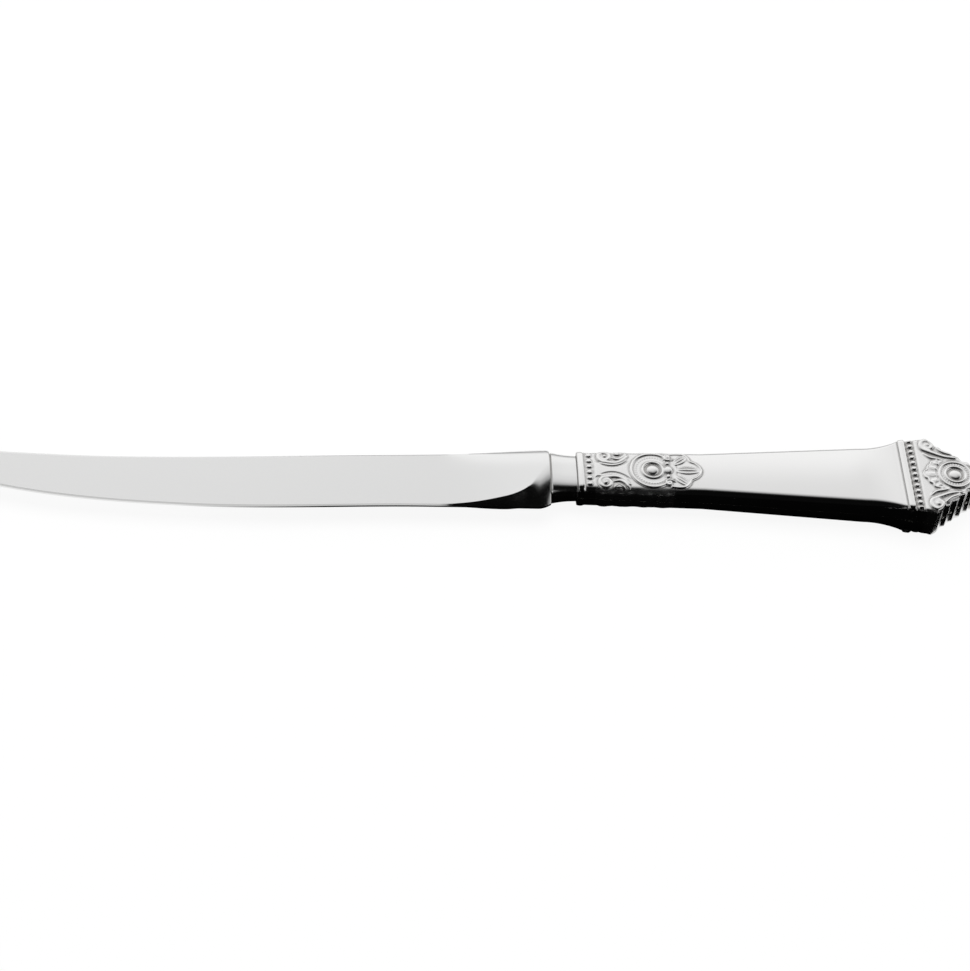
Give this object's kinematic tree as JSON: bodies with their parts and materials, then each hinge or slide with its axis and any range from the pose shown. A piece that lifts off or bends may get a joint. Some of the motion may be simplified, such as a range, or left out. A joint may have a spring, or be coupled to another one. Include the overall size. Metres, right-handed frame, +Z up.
{
  "type": "table knife",
  "caption": "Table knife with a rounded steel blade, swelled heel and oval neck, and a hollow silver handle with beaded, scrolled and ringed-disc ornament at the collar and butt.",
  "frame": {"origin": "centre of the knife's box in plan, on the surface that it lies on: the flat of the butt moulding's underside", "axes": "+X from the tip to the butt, +Y to the blade's spine, +Z up through the knife's thickness"},
  "size_m": [0.2346, 0.0224, 0.0092],
  "materials": {
    "blade_steel": "polished stainless steel with a fine lengthwise grind",
    "silver": "polished silver with dark oxide left in the ornament's hollows",
    "solder": "filed silver solder",
    "cement": "matte cast filling of resin and mineral powder"
  },
  "bodies": {
    "root": {"blade": "blade_steel", "handle_front": "silver", "handle_back": "silver", "solder_seam": "solder", "cement_core": "cement"}
  },
  "joints": []
}
